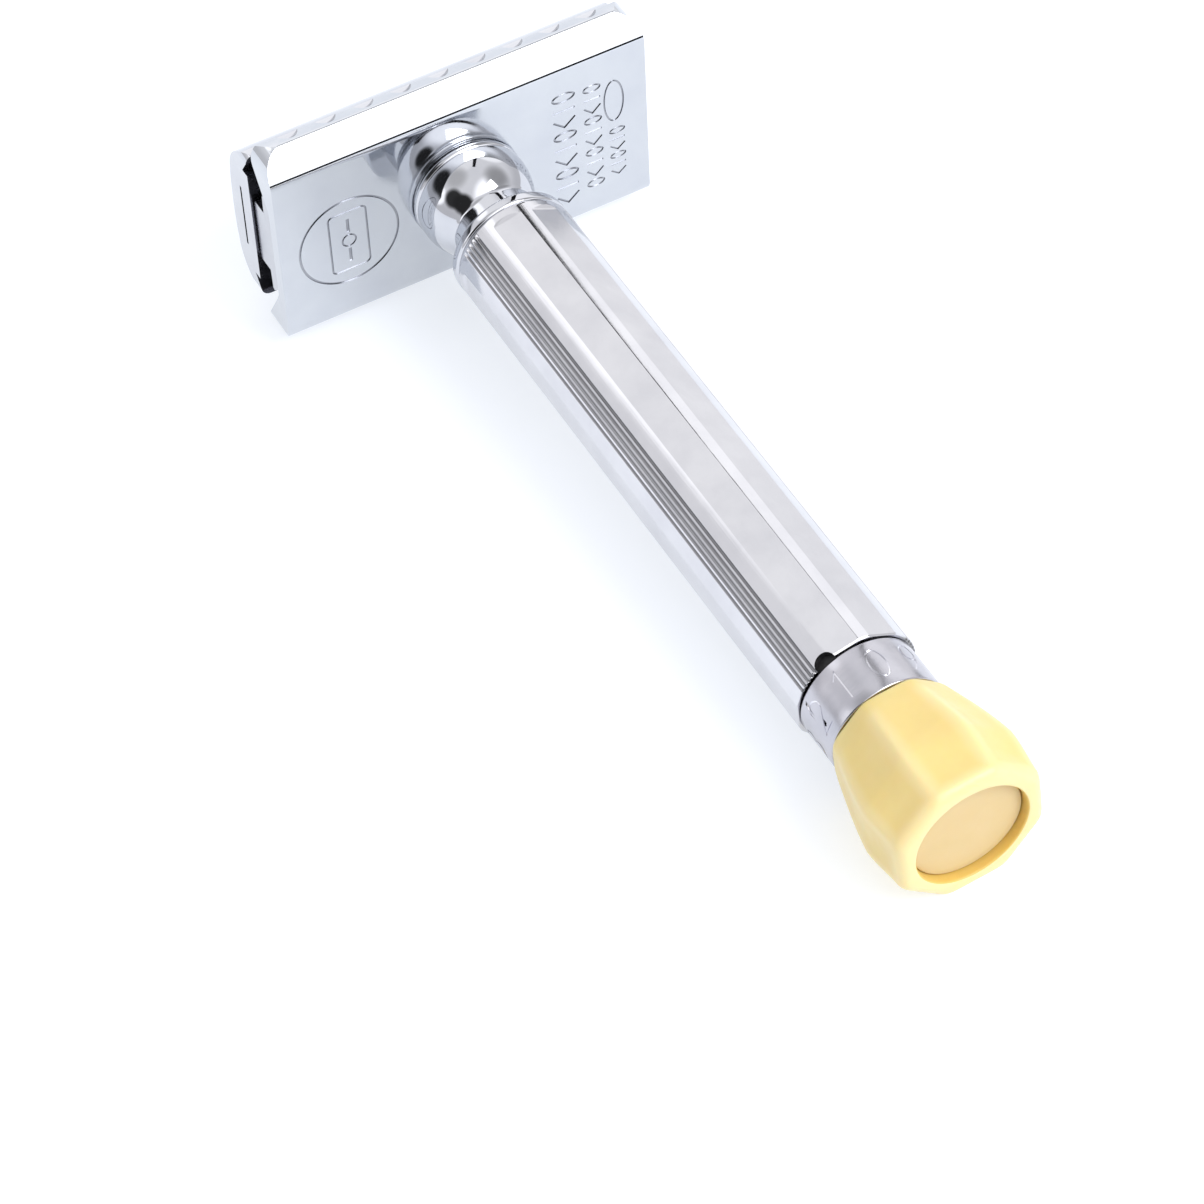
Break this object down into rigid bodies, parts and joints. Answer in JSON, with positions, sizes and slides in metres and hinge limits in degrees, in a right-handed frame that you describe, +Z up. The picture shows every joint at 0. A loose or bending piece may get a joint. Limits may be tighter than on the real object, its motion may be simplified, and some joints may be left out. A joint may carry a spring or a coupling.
{
  "type": "adjustable safety razor",
  "caption": "Adjustable double-edge safety razor: scalloped head, domed clamping cap, faceted tube handle, numbered dial and octagonal end knob that sets the blade gap.",
  "frame": {"origin": "on the handle axis, at the handle-facing underside of the base plate", "axes": "+Y up the handle axis from the knob to the cap, X along the blade edges, +Z up with the razor lying on its side"},
  "size_m": [0.042, 0.1067, 0.0258],
  "materials": {
    "chrome": "polished",
    "tube_plating": "polished ribs with satin flats",
    "satin_plating": "satin",
    "steel": "machined",
    "spring_steel": "drawn wire",
    "brass": "machined",
    "washer_nylon": "moulded",
    "cream_plastic": "soft gloss, slightly translucent",
    "plug_plastic": "matte"
  },
  "bodies": {
    "handle": {"base_plate": "chrome", "neck": "chrome", "handle_collar": "chrome", "handle_tube": "tube_plating", "upper_bush": "brass", "lower_bush": "brass", "friction_spring": "spring_steel", "thrust_washer": "washer_nylon", "lifter_spring": "spring_steel"},
    "knob": {"spindle": "steel", "retaining_clip": "spring_steel", "dial_ring": "satin_plating", "dial_key": "steel", "knob": "cream_plastic", "knob_insert": "brass", "knob_screw": "steel", "screw_washer": "steel", "knob_plug": "plug_plastic"},
    "lifter": {"blade_lifter": "satin_plating", "lifter_guide_pins": "steel"},
    "cap": {"cap": "chrome", "cap_stud": "steel", "cap_locating_posts": "steel"}
  },
  "joints": [
    {"name": "knob_turn", "type": "hinge", "parent": "handle", "child": "knob", "pos_m": [0, 0, 0], "axis": [0, 1, 0], "range_deg": [0, 324]},
    {"name": "gap_adjust", "type": "slide", "parent": "handle", "child": "lifter", "axis": [0, 1, 0], "range_m": [0, 0.00091], "deforming": ["lifter_spring"]},
    {"name": "cap_lift_off", "type": "slide", "parent": "lifter", "child": "cap", "axis": [0, 1, 0], "range_m": [0, 0.03]}
  ],
  "couplings": [
    {"joint": "gap_adjust", "follows": "knob_turn", "m_per_rad": 0.00015915}
  ]
}
